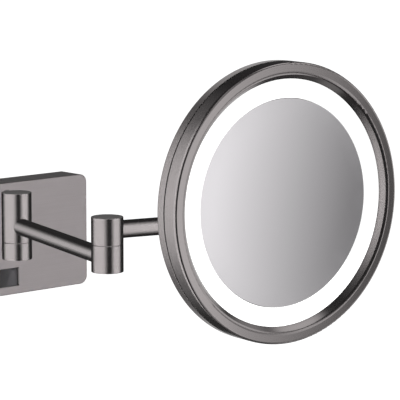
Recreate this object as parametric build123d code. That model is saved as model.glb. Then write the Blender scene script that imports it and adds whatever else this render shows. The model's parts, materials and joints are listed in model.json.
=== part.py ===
from build123d import *
import os
from math import cos, radians, sin, sqrt, tan

# Extendable lit shaving mirror on a wall plate, in millimetres.
# Origin: middle of the plate's back face, on the wall. +X right, -Y out of the wall, +Z up.

# Fits and screw circles that all pieces share
RUNNING_FIT = 0.05
PRESS_FIT = 0.03
SCREWS_PER_CIRCLE = 4
SCREW_START_ANGLE = 45.0
HOLE_END_GAP = 0.3
OVERCUT = 1.0

# Wall plate, a cover shell open to the wall
PLATE_WIDTH = 172.9
PLATE_HEIGHT = 95.2
PLATE_DEPTH = 26.1
PLATE_WALL = 2.0
PLATE_CORNER_RADIUS = 7.0
PLATE_EDGE_RADIUS = 0.8

# Wall bracket, a folded steel sheet inside the cover
BRACKET_SHEET = 2.0
BRACKET_GAP = 0.3
TAB_WIDTH = 16.0
TAB_DEPTH = 14.0
TAB_SPACING = 110.0
WALL_HOLE_DIAMETER = 5.5
WALL_HOLE_SPACING_X = 130.0
WALL_HOLE_SPACING_Z = 56.0
CABLE_HOLE_DIAMETER = 20.0
CABLE_HOLE_X = -45.0
CABLE_HOLE_FROM_TOP = 24.0
GROMMET_WALL = 2.5
GROMMET_FLANGE = 2.0
GROMMET_BORE = 10.0

# Grub screws that hold the cover from below
COVER_SCREW_DIAMETER = 4.0
COVER_SCREW_LENGTH = 9.0
COVER_SCREW_SOCKET = 2.0
COVER_SCREW_SOCKET_DEPTH = 2.5
COVER_SCREW_SINK = 0.3

# Light driver and terminal block on the bracket
DRIVER_LENGTH = 34.0
DRIVER_HEIGHT = 30.0
DRIVER_DEPTH = 17.0
DRIVER_FROM_END = 3.5
DRIVER_CENTRE_Z = 2.0
DRIVER_EAR = 7.0
DRIVER_EAR_THICKNESS = 3.0
DRIVER_EAR_HEIGHT = 14.0
DRIVER_SCREW_DIAMETER = 3.0
DRIVER_SCREW_HEAD = 5.6
DRIVER_SCREW_HEAD_HEIGHT = 1.8
BLOCK_LENGTH = 36.0
BLOCK_HEIGHT = 18.0
BLOCK_DEPTH = 16.0
BLOCK_RIGHT = -32.0
BLOCK_CENTRE_Z = -8.0
BLOCK_POLES = 3
BLOCK_WELL_DIAMETER = 5.0
BLOCK_WELL_DEPTH = 7.0
BLOCK_SCREW_HEIGHT = 4.0

# Rocker switch in the plate's lower edge
SWITCH_WIDTH = 24.8
SWITCH_HEIGHT = 15.8
SWITCH_FROM_BOTTOM = 14.8
SWITCH_HOUSING_WALL = 3.0
SWITCH_BACK_GAP = 3.0
SWITCH_FLOOR = 2.0
ROCKER_GAP = 0.5
ROCKER_SIDE_GAP = 0.35
ROCKER_RECESS = 0.3
ROCKER_THICKNESS = 3.5
ROCKER_TILT = 4.0
ROCKER_EDGE = 0.6
ROCKER_PIVOT_DEPTH = 4.2
ROCKER_HUB_RADIUS = 3.0
ROCKER_PIN_RADIUS = 1.5
ROCKER_PIN_LENGTH = 2.0

# Round pivots: post, elbow and head share one section
KNUCKLE_RADIUS = 12.5
KNUCKLE_WALL = 3.5
KNUCKLE_EDGE = 0.4
SEAM_GAP = 0.2
SEAM_CHAMFER = 0.2
WEB = 3.0
CAP_LEDGE = 1.5
CAP_THICKNESS = 2.0
BOLT_RADIUS = 5.5
BOLT_BORE_RADIUS = 3.5
BOLT_HEAD_GAP = 1.0
BOLT_HEAD_HEIGHT = 1.5
BUSH_WALL = 1.2
BUSH_FLANGE_INSET = 2.0
BUSH_FLANGE = 1.0
SPRING_GAP = 0.7
SPRING_SHEET = 0.45
SPRING_HEIGHT = 0.7
NUT_CORNER_GAP = 0.63
NUT_HEIGHT = 2.0
BOLT_END = 0.1

# Post, in front of the plate
POST_GAP = 1.0
POST_SEAM_Z = -0.1
POST_BASE_HEIGHT = 14.5
POST_SLEEVE_HEIGHT = 41.5
REAR_ARM_RISE = 13.74

# Stub that carries the post on the bracket
STUB_CAP_GAP = 0.25
STUB_WALL = 2.0
STUB_FLANGE_RADIUS = 20.0
STUB_FLANGE = 4.0
STUB_CLEARANCE = 0.4
STUB_SCREW_CIRCLE = 13.5
STUB_SCREW_DIAMETER = 4.0
STUB_SCREW_HEAD = 8.0
STUB_SCREW_LENGTH = 5.0
STUB_SLOT_DEPTH = 14.0

# Elbow and head pivots: two equal halves each
ARM_OFFSET = 10.86
CAP_TUBE_GAP = 1.54

# Arms
TUBE_RADIUS = 7.0
TUBE_WALL = 2.0
SOCKET_LAND = 0.3
REAR_ARM_LENGTH = 179.3
REAR_ARM_ANGLE = -105.0
FRONT_ARM_LENGTH = 106.7
FRONT_ARM_ANGLE = -15.5

# Low-voltage lead inside the arms and mains wires inside the plate
LEAD_RADIUS = 1.5
LEAD_GAP = 0.3
LEAD_BEND = 4.0
LEAD_JOINT_GAP = 0.2
HEAD_LEAD_BEND = 2.1
WIRE_RADIUS = 1.0
WIRE_BEND = 2.5
WIRE_STANDOFF = 4.0
WIRE_SPREAD = 3.0
WIRE_DROP_X = 10.0
WIRE_RISE_X = 25.0

# Mirror head: depths are measured back from the rim's front face
MIRROR_YAW = -4.8
HEAD_REACH = 72.2
RIM_RADIUS = 108.5
RIM_FACE_WIDTH = 8.7
RIM_CONE_WIDTH = 4.35
RIM_WALL = 2.2
RIM_SHEET = 2.0
RIM_EDGE_RADIUS = 2.0
RIM_INNER_EDGE_RADIUS = 3.6
RIM_FRONT_DEPTH = 13.2
GROOVE_WIDTH = 1.1
GROOVE_EDGE = 0.3
BACK_SHEET = 2.2
BACK_EDGE_RADIUS = 2.0
SPIGOT_WALL = 1.8
SPIGOT_REACH = 7.0
SPIGOT_FIT = 0.1
LIGHT_RECESS = 5.6
LIP_LAND = 0.4
SEAT_GAP = 0.05
DIFFUSER_THICKNESS = 3.0
DIFFUSER_OVERLAP = 2.75
LIGHT_RING_WIDTH = 15.0
GLASS_RECESS = 6.3
GLASS_THICKNESS = 3.0
GLASS_CURVE_RADIUS = 900.0
GLASS_EDGE_GAP = 0.45
PAD_INSET = 10.45
PAD_WIDTH = 20.0
GLASS_BACK_GAP = 1.1
CARRIER_SHEET = 2.0
CARRIER_WALL = 1.5
CARRIER_EDGE_GAP = 0.4
CARRIER_RIB_INSET = 6.5
CARRIER_RIB = 2.0
CARRIER_SCREW_CIRCLE = 35.0
CARRIER_SCREW_DIAMETER = 3.0
CARRIER_SCREW_HEAD = 6.0
CARRIER_SCREW_LENGTH = 6.0
BOSS_WALL = 2.5
LED_BOARD_SHEET = 1.6
LED_BOARD_GAP = 0.5
LED_COUNT = 48
LED_LENGTH = 3.5
LED_WIDTH = 2.8
LED_HEIGHT = 0.8
LEAD_PASSAGE_RADIUS = 5.0
LEAD_ROOM = 4.9

# Tilt hinge behind the mirror
HINGE_PLATE_RADIUS = 30.0
HINGE_PLATE = 3.0
HINGE_SCREW_INSET = 7.0
HINGE_SCREW_DIAMETER = 4.0
HINGE_SCREW_HEAD = 8.0
HINGE_SCREW_LENGTH = 7.5
EAR_THICKNESS = 5.0
EAR_RADIUS = 10.0
BARREL_RADIUS = 11.0
BARREL_GAP = 0.9
BARREL_LENGTH = 26.0
BARREL_BORE_RADIUS = 7.0
TILT_BUSH_LENGTH = 6.0
TILT_BUSH_FLANGE = 1.0
TILT_BUSH_FLANGE_RADIUS = 9.5
TILT_WASHER = 1.0
TILT_SCREW_RADIUS = 4.0
TILT_SCREW_HEAD_RADIUS = 7.0
TILT_SCREW_HEAD = 3.5
TILT_SCREW_SOCKET = 5.0
TILT_SCREW_SOCKET_DEPTH = 2.0
TILT_WINDOW_WIDTH = 6.0
TILT_WINDOW_GAP = 1.2
BARREL_SOCKET_LAND = 1.2
TILT_LIMIT = 20.0

# Places worked out from the sizes above
PLATE_INSIDE_Y = -(PLATE_DEPTH - PLATE_WALL)
POST_Y = -(PLATE_DEPTH + POST_GAP + KNUCKLE_RADIUS)
CAVITY_RADIUS = KNUCKLE_RADIUS - KNUCKLE_WALL
CAP_RADIUS = CAVITY_RADIUS + CAP_LEDGE
BOLT_HEAD_RADIUS = CAVITY_RADIUS - BOLT_HEAD_GAP
SPRING_RADIUS = CAVITY_RADIUS - SPRING_GAP
NUT_FLATS = 2 * (CAVITY_RADIUS - NUT_CORNER_GAP) * cos(radians(30))
BUSH_FLANGE_RADIUS = KNUCKLE_RADIUS - BUSH_FLANGE_INSET
BUSH_RADIUS = BOLT_RADIUS + RUNNING_FIT + BUSH_WALL
STACK_TOP = WEB + SPRING_HEIGHT + NUT_HEIGHT
SOCKET_END = CAVITY_RADIUS + SOCKET_LAND
TUBE_BORE_RADIUS = TUBE_RADIUS - TUBE_WALL
HALF_HEIGHT = ARM_OFFSET + TUBE_RADIUS + CAP_TUBE_GAP + CAP_THICKNESS
STUB_Z = POST_SEAM_Z - POST_BASE_HEIGHT / 2
STUB_RADIUS = POST_BASE_HEIGHT / 2 - CAP_THICKNESS - STUB_CAP_GAP
STUB_BORE_RADIUS = STUB_RADIUS - STUB_WALL
REAR_ARM_Z = POST_SEAM_Z + REAR_ARM_RISE
ELBOW_SEAM_Z = REAR_ARM_Z + ARM_OFFSET
FRONT_ARM_Z = ELBOW_SEAM_Z + ARM_OFFSET
HEAD_SEAM_Z = FRONT_ARM_Z + ARM_OFFSET
MIRROR_Z = HEAD_SEAM_Z + ARM_OFFSET
MIRROR_ANGLE = MIRROR_YAW - 90.0
LEAD_DROP = min(
    TUBE_BORE_RADIUS - LEAD_RADIUS - LEAD_GAP,
    ARM_OFFSET - STACK_TOP - BOLT_END - LEAD_RADIUS - LEAD_GAP,
)
SWITCH_Z = SWITCH_FROM_BOTTOM - PLATE_HEIGHT / 2
CABLE_HOLE_Z = PLATE_HEIGHT / 2 - CABLE_HOLE_FROM_TOP
DRIVER_LEFT = PLATE_WIDTH / 2 - DRIVER_FROM_END - DRIVER_EAR - DRIVER_LENGTH
UPRIGHT = (Align.CENTER, Align.CENTER, Align.MIN)


def step_along(point, angle, distance):
    """Point at a distance from another, level with it, in a compass direction."""
    x, y, z = point
    return (x + distance * cos(radians(angle)), y + distance * sin(radians(angle)), z)


def at_height(point, z):
    return (point[0], point[1], z)


POST = (0.0, POST_Y, POST_SEAM_Z)
ELBOW = at_height(step_along(POST, REAR_ARM_ANGLE, REAR_ARM_LENGTH), ELBOW_SEAM_Z)
HEAD = at_height(step_along(ELBOW, FRONT_ARM_ANGLE, FRONT_ARM_LENGTH), HEAD_SEAM_Z)
RIM_CENTRE = at_height(step_along(HEAD, MIRROR_ANGLE, HEAD_REACH), MIRROR_Z)
HEAD_PLACE = Location(RIM_CENTRE, (0, 0, MIRROR_YAW))


# Shared shapes
def rod(start, end, radius):
    """Solid cylinder between two points."""
    axis = Vector(*end) - Vector(*start)
    return Plane(origin=start, z_dir=axis) * Cylinder(radius, axis.length, align=UPRIGHT)


def hollow_rod(start, end, radius, bore):
    return rod(start, end, radius) - rod(start, end, bore)


def block(low, high):
    """Box between two corners."""
    size = [b - a for a, b in zip(low, high)]
    middle = [(a + b) / 2 for a, b in zip(low, high)]
    return Pos(*middle) * Box(*size)


def ring(low, high, outer, inner):
    """Upright ring about the Z axis."""
    return hollow_rod((0, 0, low), (0, 0, high), outer, inner)


def rounded_face(outline, rounds):
    """Flat face from points, with some of its corners rounded."""
    face = make_face(Polyline(*outline, close=True))
    for corner, radius in rounds:
        face = fillet(face.vertices().sort_by_distance((*corner, 0))[0], radius)
    return face


def turned(outline, rounds=()):
    """Body turned about the Y axis from (radius, depth) points, with rounded corners."""
    return revolve(rounded_face(outline, rounds), Axis.Y)


def hexagon_bar(plane, flats, length):
    """Hexagonal bar along the plane's normal."""
    return extrude(plane * RegularPolygon(flats / 2, 6, major_radius=False), length)


def lead(points, radius, bend):
    """Round lead along straight runs joined by arcs."""
    path = FilletPolyline(*points, radius=bend)
    return sweep(Plane(origin=path @ 0, z_dir=path % 0) * Circle(radius), path)


def flat_screw(head_point, tip_point, diameter, head_diameter):
    """Countersunk screw, head flush at its first point."""
    axis = Vector(*tip_point) - Vector(*head_point)
    sink = (head_diameter - diameter) / 2
    outline = (
        (0, 0),
        (head_diameter / 2, 0),
        (diameter / 2, sink),
        (diameter / 2, axis.length),
        (0, axis.length),
    )
    body = revolve(make_face(Plane.XZ * Polyline(*outline, close=True)), Axis.Z)
    return Plane(origin=head_point, z_dir=axis) * body


def screw_hole(head_point, tip_point, diameter, head_diameter):
    """Countersunk hole that takes a flat screw."""
    return flat_screw(head_point, tip_point, diameter + 2 * PRESS_FIT, head_diameter + 2 * PRESS_FIT)


def around(count, circle):
    """Points evenly round a circle in the XZ plane."""
    angles = [radians(SCREW_START_ANGLE + 360.0 * i / count) for i in range(count)]
    return [(circle * cos(a), circle * sin(a)) for a in angles]


# Pivot pieces, built about the Z axis with the seam at height zero
def knuckle_half(height, arm_rise, arm_angle, socket_radius, passage_radius, seam, web_bore):
    """Hollow half of a pivot above the seam, with a socket for the tube that it carries."""
    body = Pos(0, 0, seam) * Cylinder(KNUCKLE_RADIUS, height - seam, align=UPRIGHT)
    ends = body.edges().filter_by(GeomType.CIRCLE).sort_by(Axis.Z)
    body = chamfer(ends[0], SEAM_CHAMFER)
    ends = body.edges().filter_by(GeomType.CIRCLE).sort_by(Axis.Z)
    body = fillet(ends[-1], KNUCKLE_EDGE)
    body -= rod((0, 0, WEB), (0, 0, height), CAVITY_RADIUS)
    body -= rod((0, 0, height - CAP_THICKNESS), (0, 0, height + OVERCUT), CAP_RADIUS + PRESS_FIT)
    body -= rod((0, 0, 0), (0, 0, height), web_bore)
    axis_point = (0, 0, arm_rise)
    socket_floor = step_along(axis_point, arm_angle, SOCKET_END)
    outside = step_along(axis_point, arm_angle, KNUCKLE_RADIUS + OVERCUT)
    body -= rod(socket_floor, outside, socket_radius + PRESS_FIT)
    body -= rod(axis_point, outside, passage_radius)
    return body


def upper_half(height, arm_rise, arm_angle):
    body = knuckle_half(
        height, arm_rise, arm_angle, TUBE_RADIUS, TUBE_BORE_RADIUS, SEAM_GAP, BUSH_RADIUS + PRESS_FIT
    )
    return body - rod((0, 0, 0), (0, 0, BUSH_FLANGE), BUSH_FLANGE_RADIUS + PRESS_FIT)


def lower_half(height, arm_rise, arm_angle, socket_radius, passage_radius):
    body = knuckle_half(
        height, arm_rise, arm_angle, socket_radius, passage_radius, 0.0, BOLT_RADIUS + PRESS_FIT
    )
    return mirror(body, about=Plane.XY)


def end_cap(height):
    """Disc pressed flush into the open end of a pivot half."""
    return rod((0, 0, height - CAP_THICKNESS), (0, 0, height), CAP_RADIUS)


def pivot_bolt():
    """Hollow bolt: head under the lower web, shank up through the bush and the nut."""
    bottom = (0, 0, -WEB - BOLT_HEAD_HEIGHT)
    seat = (0, 0, -WEB)
    top = (0, 0, STACK_TOP + BOLT_END)
    body = rod(bottom, seat, BOLT_HEAD_RADIUS) + rod(seat, top, BOLT_RADIUS)
    return body - rod(bottom, top, BOLT_BORE_RADIUS)


def pivot_bush():
    """Flanged plastic bush: its flange is the thrust washer in the seam."""
    inner = BOLT_RADIUS + RUNNING_FIT
    return ring(0, BUSH_FLANGE, BUSH_FLANGE_RADIUS, inner) + ring(0, WEB, BUSH_RADIUS, inner)


def pivot_spring():
    """Disc spring that sets the pivot's friction."""
    inner = BOLT_RADIUS + RUNNING_FIT
    top = WEB + SPRING_HEIGHT
    outline = (
        (SPRING_RADIUS, WEB),
        (SPRING_RADIUS, WEB + SPRING_SHEET),
        (inner, top),
        (inner, top - SPRING_SHEET),
    )
    return revolve(make_face(Plane.XZ * Polyline(*outline, close=True)), Axis.Z)


def pivot_nut():
    bar = hexagon_bar(Plane.XY.offset(STACK_TOP - NUT_HEIGHT), NUT_FLATS, NUT_HEIGHT)
    return bar - rod((0, 0, 0), (0, 0, STACK_TOP), BOLT_RADIUS + PRESS_FIT)


def pivot_hardware(name, place):
    """Bolt, spring and nut, which stay with the lower half, and the bush, which turns with the upper."""
    shapes = {"bolt": pivot_bolt(), "bush": pivot_bush(), "spring": pivot_spring(), "nut": pivot_nut()}
    return {f"{name}_{kind}": Pos(*place) * shape for kind, shape in shapes.items()}


# Wall unit
def plate_blank(width, height, corner, near, far):
    """Rounded rectangle in the wall plane, between two depths."""
    face = Plane.XZ.offset(near) * RectangleRounded(width, height, corner)
    return extrude(face, far - near)


def driver_screw_points():
    left = DRIVER_LEFT - DRIVER_EAR / 2
    right = DRIVER_LEFT + DRIVER_LENGTH + DRIVER_EAR / 2
    return [(left, DRIVER_CENTRE_Z), (right, DRIVER_CENTRE_Z)]


def stub_screw_points():
    return [(x, z + STUB_Z) for x, z in around(SCREWS_PER_CIRCLE, STUB_SCREW_CIRCLE)]


def cover_screw_points():
    return [(side * TAB_SPACING / 2, -(BRACKET_SHEET + TAB_DEPTH) / 2) for side in (-1, 1)]


def wall_cover():
    body = plate_blank(PLATE_WIDTH, PLATE_HEIGHT, PLATE_CORNER_RADIUS, 0, PLATE_DEPTH)
    body = fillet(body.faces().sort_by(Axis.Y)[0].edges(), PLATE_EDGE_RADIUS)
    body -= plate_blank(
        PLATE_WIDTH - 2 * PLATE_WALL,
        PLATE_HEIGHT - 2 * PLATE_WALL,
        PLATE_CORNER_RADIUS - PLATE_WALL,
        0,
        PLATE_DEPTH - PLATE_WALL,
    )
    body -= block(
        (-SWITCH_WIDTH / 2, -PLATE_DEPTH - OVERCUT, SWITCH_Z - SWITCH_HEIGHT / 2),
        (SWITCH_WIDTH / 2, PLATE_INSIDE_Y + OVERCUT, SWITCH_Z + SWITCH_HEIGHT / 2),
    )
    body -= rod((0, POST_Y, STUB_Z), (0, PLATE_INSIDE_Y + OVERCUT, STUB_Z), STUB_RADIUS + STUB_CLEARANCE)
    for x, y in cover_screw_points():
        body -= rod((x, y, -PLATE_HEIGHT), (x, y, 0), COVER_SCREW_DIAMETER / 2 + RUNNING_FIT)
    return body


def wall_bracket():
    width = PLATE_WIDTH - 2 * (PLATE_WALL + BRACKET_GAP)
    height = PLATE_HEIGHT - 2 * (PLATE_WALL + BRACKET_GAP)
    corner = PLATE_CORNER_RADIUS - PLATE_WALL - BRACKET_GAP
    body = plate_blank(width, height, corner, 0, BRACKET_SHEET)
    for x, y in cover_screw_points():
        for side in (-1, 1):
            edge = side * height / 2
            inner = side * (height / 2 - BRACKET_SHEET)
            body += block(
                (x - TAB_WIDTH / 2, -TAB_DEPTH, min(edge, inner)),
                (x + TAB_WIDTH / 2, -BRACKET_SHEET / 2, max(edge, inner)),
            )
        body -= rod((x, y, -PLATE_HEIGHT), (x, y, 0), COVER_SCREW_DIAMETER / 2 + PRESS_FIT)
    room_side = -BRACKET_SHEET - OVERCUT
    for x in (-WALL_HOLE_SPACING_X / 2, WALL_HOLE_SPACING_X / 2):
        for z in (-WALL_HOLE_SPACING_Z / 2, WALL_HOLE_SPACING_Z / 2):
            body -= rod((x, OVERCUT, z), (x, room_side, z), WALL_HOLE_DIAMETER / 2)
    cable_hole = (CABLE_HOLE_X, OVERCUT, CABLE_HOLE_Z)
    body -= rod(cable_hole, (CABLE_HOLE_X, room_side, CABLE_HOLE_Z), CABLE_HOLE_DIAMETER / 2)
    for x, z in driver_screw_points():
        body -= rod((x, OVERCUT, z), (x, room_side, z), DRIVER_SCREW_DIAMETER / 2 + PRESS_FIT)
    for x, z in stub_screw_points():
        body -= screw_hole((x, 0, z), (x, room_side, z), STUB_SCREW_DIAMETER, STUB_SCREW_HEAD)
    return body


def cover_screws():
    screws = []
    for x, y in cover_screw_points():
        low = -PLATE_HEIGHT / 2 + COVER_SCREW_SINK
        screw = rod((x, y, low), (x, y, low + COVER_SCREW_LENGTH), COVER_SCREW_DIAMETER / 2)
        screw -= hexagon_bar(Plane((x, y, low)), COVER_SCREW_SOCKET, COVER_SCREW_SOCKET_DEPTH)
        screws.append(screw)
    return Compound(children=screws)


def cable_grommet():
    """Rubber grommet with a lip on each side of the bracket's cable hole, set in from the wall."""
    outer = CABLE_HOLE_DIAMETER / 2 - PRESS_FIT
    near = (CABLE_HOLE_X, 0, CABLE_HOLE_Z)
    face = (CABLE_HOLE_X, -BRACKET_SHEET, CABLE_HOLE_Z)
    far = (CABLE_HOLE_X, -BRACKET_SHEET - GROMMET_FLANGE, CABLE_HOLE_Z)
    body = rod(near, far, outer) + rod(face, far, outer + GROMMET_WALL)
    return body - rod(near, far, GROMMET_BORE / 2)


def led_driver():
    """Sealed driver box with a screw ear at each end."""
    back = -BRACKET_SHEET
    low_z = DRIVER_CENTRE_Z - DRIVER_HEIGHT / 2
    right = DRIVER_LEFT + DRIVER_LENGTH
    body = block((DRIVER_LEFT, back - DRIVER_DEPTH, low_z), (right, back, low_z + DRIVER_HEIGHT))
    body = fillet(body.edges().group_by(Axis.Y)[0], DRIVER_EAR_THICKNESS / 2)
    body += block(
        (DRIVER_LEFT - DRIVER_EAR, back - DRIVER_EAR_THICKNESS, DRIVER_CENTRE_Z - DRIVER_EAR_HEIGHT / 2),
        (right + DRIVER_EAR, back, DRIVER_CENTRE_Z + DRIVER_EAR_HEIGHT / 2),
    )
    for x, z in driver_screw_points():
        body -= rod((x, 0, z), (x, back - DRIVER_DEPTH, z), DRIVER_SCREW_DIAMETER / 2 + PRESS_FIT)
    return body


def driver_screws():
    screws = []
    for x, z in driver_screw_points():
        seat = -BRACKET_SHEET - DRIVER_EAR_THICKNESS
        shank = rod((x, 0, z), (x, seat, z), DRIVER_SCREW_DIAMETER / 2)
        head = rod((x, seat, z), (x, seat - DRIVER_SCREW_HEAD_HEIGHT, z), DRIVER_SCREW_HEAD / 2)
        screws.append(shank + head)
    return Compound(children=screws)


def block_pole_places():
    pitch = BLOCK_LENGTH / BLOCK_POLES
    return [BLOCK_RIGHT - pitch * (i + 0.5) for i in range(BLOCK_POLES)]


def terminal_block():
    """Mains terminal block with a screw well and a wire mouth for each pole."""
    back = -BRACKET_SHEET
    front = back - BLOCK_DEPTH
    low_z = BLOCK_CENTRE_Z - BLOCK_HEIGHT / 2
    body = block((BLOCK_RIGHT - BLOCK_LENGTH, front, low_z), (BLOCK_RIGHT, back, low_z + BLOCK_HEIGHT))
    mouth_y = (front + back) / 2
    for x in block_pole_places():
        body -= rod(
            (x, front, BLOCK_CENTRE_Z),
            (x, front + BLOCK_WELL_DEPTH, BLOCK_CENTRE_Z),
            BLOCK_WELL_DIAMETER / 2,
        )
        body -= rod(
            (x, mouth_y, low_z + BLOCK_HEIGHT),
            (x, mouth_y, BLOCK_CENTRE_Z + BLOCK_WELL_DIAMETER),
            BLOCK_WELL_DIAMETER / 2,
        )
    return body


def terminal_screws():
    screws = []
    floor = -BRACKET_SHEET - BLOCK_DEPTH + BLOCK_WELL_DEPTH
    for x in block_pole_places():
        screw = rod(
            (x, floor, BLOCK_CENTRE_Z),
            (x, floor - BLOCK_SCREW_HEIGHT, BLOCK_CENTRE_Z),
            BLOCK_WELL_DIAMETER / 2 - RUNNING_FIT,
        )
        screws.append(screw)
    return Compound(children=screws)


def rocker_pivot_y():
    return -(PLATE_DEPTH - ROCKER_RECESS - ROCKER_PIVOT_DEPTH)


def switch_housing():
    """Open-fronted box behind the plate's window, with a pivot hole above and below."""
    front = PLATE_INSIDE_Y
    back = -BRACKET_SHEET - STUB_FLANGE - SWITCH_BACK_GAP
    half_width = SWITCH_WIDTH / 2
    half_height = SWITCH_HEIGHT / 2
    wall = SWITCH_HOUSING_WALL
    body = block(
        (-half_width - wall, front, SWITCH_Z - half_height - wall),
        (half_width + wall, back, SWITCH_Z + half_height + wall),
    )
    body -= block(
        (-half_width, front - OVERCUT, SWITCH_Z - half_height),
        (half_width, back - SWITCH_FLOOR, SWITCH_Z + half_height),
    )
    reach = half_height - ROCKER_SIDE_GAP + ROCKER_PIN_LENGTH + HOLE_END_GAP
    pivot = rocker_pivot_y()
    body -= rod(
        (0, pivot, SWITCH_Z - reach), (0, pivot, SWITCH_Z + reach), ROCKER_PIN_RADIUS + RUNNING_FIT
    )
    return body


def switch_rocker():
    """Rocker with two facets, pressed in at its right end: light on."""
    half_length = SWITCH_WIDTH / 2 - ROCKER_GAP
    half_height = SWITCH_HEIGHT / 2 - ROCKER_SIDE_GAP
    end = half_length * tan(radians(ROCKER_TILT)) - ROCKER_PIVOT_DEPTH
    back = ROCKER_THICKNESS - ROCKER_PIVOT_DEPTH
    outline = (
        (-half_length, end),
        (0, -ROCKER_PIVOT_DEPTH),
        (half_length, end),
        (half_length, back),
        (-half_length, back),
    )
    section = rounded_face(outline, ((outline[0], ROCKER_EDGE), (outline[2], ROCKER_EDGE)))
    body = extrude(section, half_height, both=True)
    body += rod((0, 0, -half_height), (0, 0, half_height), ROCKER_HUB_RADIUS)
    reach = half_height + ROCKER_PIN_LENGTH
    body += rod((0, 0, -reach), (0, 0, reach), ROCKER_PIN_RADIUS)
    return Location((0, rocker_pivot_y(), SWITCH_Z), (0, 0, ROCKER_TILT)) * body


def stub_lead_z():
    return STUB_Z - (STUB_BORE_RADIUS - LEAD_RADIUS - LEAD_GAP)


def post_stub():
    """Hollow stub with a foot flange on the bracket and a side slot for the lead."""
    back = -BRACKET_SHEET
    end = POST_Y + SOCKET_END
    floor = back - STUB_FLANGE
    body = rod((0, back, STUB_Z), (0, end, STUB_Z), STUB_RADIUS)
    body += rod((0, back, STUB_Z), (0, floor, STUB_Z), STUB_FLANGE_RADIUS)
    body -= rod((0, floor, STUB_Z), (0, end, STUB_Z), STUB_BORE_RADIUS)
    slot_half = LEAD_RADIUS + LEAD_GAP
    body -= block(
        (0, -STUB_SLOT_DEPTH - LEAD_BEND, stub_lead_z() - slot_half),
        (STUB_RADIUS + OVERCUT, floor, stub_lead_z() + slot_half),
    )
    hole_end = -STUB_SCREW_LENGTH - HOLE_END_GAP
    for x, z in stub_screw_points():
        body -= rod((x, 0, z), (x, hole_end, z), STUB_SCREW_DIAMETER / 2 + PRESS_FIT)
    return body


def stub_screws():
    screws = [
        flat_screw((x, 0, z), (x, -STUB_SCREW_LENGTH, z), STUB_SCREW_DIAMETER, STUB_SCREW_HEAD)
        for x, z in stub_screw_points()
    ]
    return Compound(children=screws)


def wall_lead():
    """Low-voltage lead: driver, through the stub, up into the post's hollow bolt."""
    z = stub_lead_z()
    points = [
        (DRIVER_LEFT, -STUB_SLOT_DEPTH, z),
        (0, -STUB_SLOT_DEPTH, z),
        (0, POST_Y, z),
        (0, POST_Y, POST_SEAM_Z - LEAD_JOINT_GAP / 2),
    ]
    return lead(points, LEAD_RADIUS, LEAD_BEND)


def inner_wires():
    """Insulated wires: terminal block to switch, switch to driver, and block to driver."""
    housing_top = SWITCH_Z + SWITCH_HEIGHT / 2 + SWITCH_HOUSING_WALL
    y = -BRACKET_SHEET - STUB_FLANGE - WIRE_STANDOFF
    feed_z = BLOCK_CENTRE_Z - WIRE_SPREAD
    return_z = BLOCK_CENTRE_Z + WIRE_SPREAD
    over_z = STUB_Z + STUB_RADIUS + WIRE_SPREAD
    feed = [(BLOCK_RIGHT, y, feed_z), (-WIRE_DROP_X, y, feed_z), (-WIRE_DROP_X, y, housing_top)]
    switched = [(WIRE_DROP_X, y, housing_top), (WIRE_DROP_X, y, feed_z), (DRIVER_LEFT, y, feed_z)]
    back = [
        (BLOCK_RIGHT, y, return_z),
        (-WIRE_RISE_X, y, return_z),
        (-WIRE_DROP_X, y, over_z),
        (DRIVER_LEFT, y, over_z),
    ]
    return Compound(children=[lead(path, WIRE_RADIUS, WIRE_BEND) for path in (feed, switched, back)])


# Arms
def arm_tube(start, end, angle):
    """Tube between two pivots, its ends in their sockets."""
    return hollow_rod(
        step_along(start, angle, SOCKET_END),
        step_along(end, angle, -SOCKET_END),
        TUBE_RADIUS,
        TUBE_BORE_RADIUS,
    )


def arm_lead(start, end, level):
    """Lead lying in an arm tube, turned onto the pivot axis at both ends."""
    points = [
        at_height(start, start[2] + LEAD_JOINT_GAP / 2),
        at_height(start, level - LEAD_DROP),
        at_height(end, level - LEAD_DROP),
        at_height(end, end[2] - LEAD_JOINT_GAP / 2),
    ]
    return lead(points, LEAD_RADIUS, LEAD_BEND)


# Mirror head, built with its axis on Y and its rim's front face at depth zero
RIM_INNER_FRONT_RADIUS = RIM_RADIUS - RIM_FACE_WIDTH
RIM_LIP_RADIUS = RIM_INNER_FRONT_RADIUS - RIM_CONE_WIDTH
GLASS_RADIUS = RIM_LIP_RADIUS - LIGHT_RING_WIDTH
GLASS_SAG = GLASS_CURVE_RADIUS - sqrt(GLASS_CURVE_RADIUS**2 - GLASS_RADIUS**2)
PAD_OUTER_RADIUS = GLASS_RADIUS - PAD_INSET
PAD_INNER_RADIUS = PAD_OUTER_RADIUS - PAD_WIDTH
CARRIER_DEPTH = GLASS_RECESS + GLASS_SAG + GLASS_THICKNESS + GLASS_BACK_GAP
CARRIER_RIB_RADIUS = RIM_RADIUS - CARRIER_RIB_INSET
HEAD_DEPTH = CARRIER_DEPTH + CARRIER_SHEET + LEAD_ROOM + BACK_SHEET
TILT_AXIS_DEPTH = HEAD_DEPTH + HINGE_PLATE + BARREL_RADIUS + BARREL_GAP
HINGE_SCREW_CIRCLE = HINGE_PLATE_RADIUS - HINGE_SCREW_INSET
REAR_BAND_DEPTH = RIM_FRONT_DEPTH + GROOVE_WIDTH
SPIGOT_RADIUS = RIM_RADIUS - RIM_WALL - SPIGOT_FIT
BACK_INSIDE = HEAD_DEPTH - BACK_SHEET
CARRIER_BACK = CARRIER_DEPTH + CARRIER_SHEET
DIFFUSER_BACK = LIGHT_RECESS + DIFFUSER_THICKNESS
DIFFUSER_INNER_RADIUS = GLASS_RADIUS + GLASS_EDGE_GAP
DIFFUSER_RADIUS = RIM_LIP_RADIUS + DIFFUSER_OVERLAP
LED_CHANNEL_INNER = DIFFUSER_INNER_RADIUS + CARRIER_WALL
LED_CHANNEL_OUTER = DIFFUSER_RADIUS - CARRIER_WALL
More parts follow.
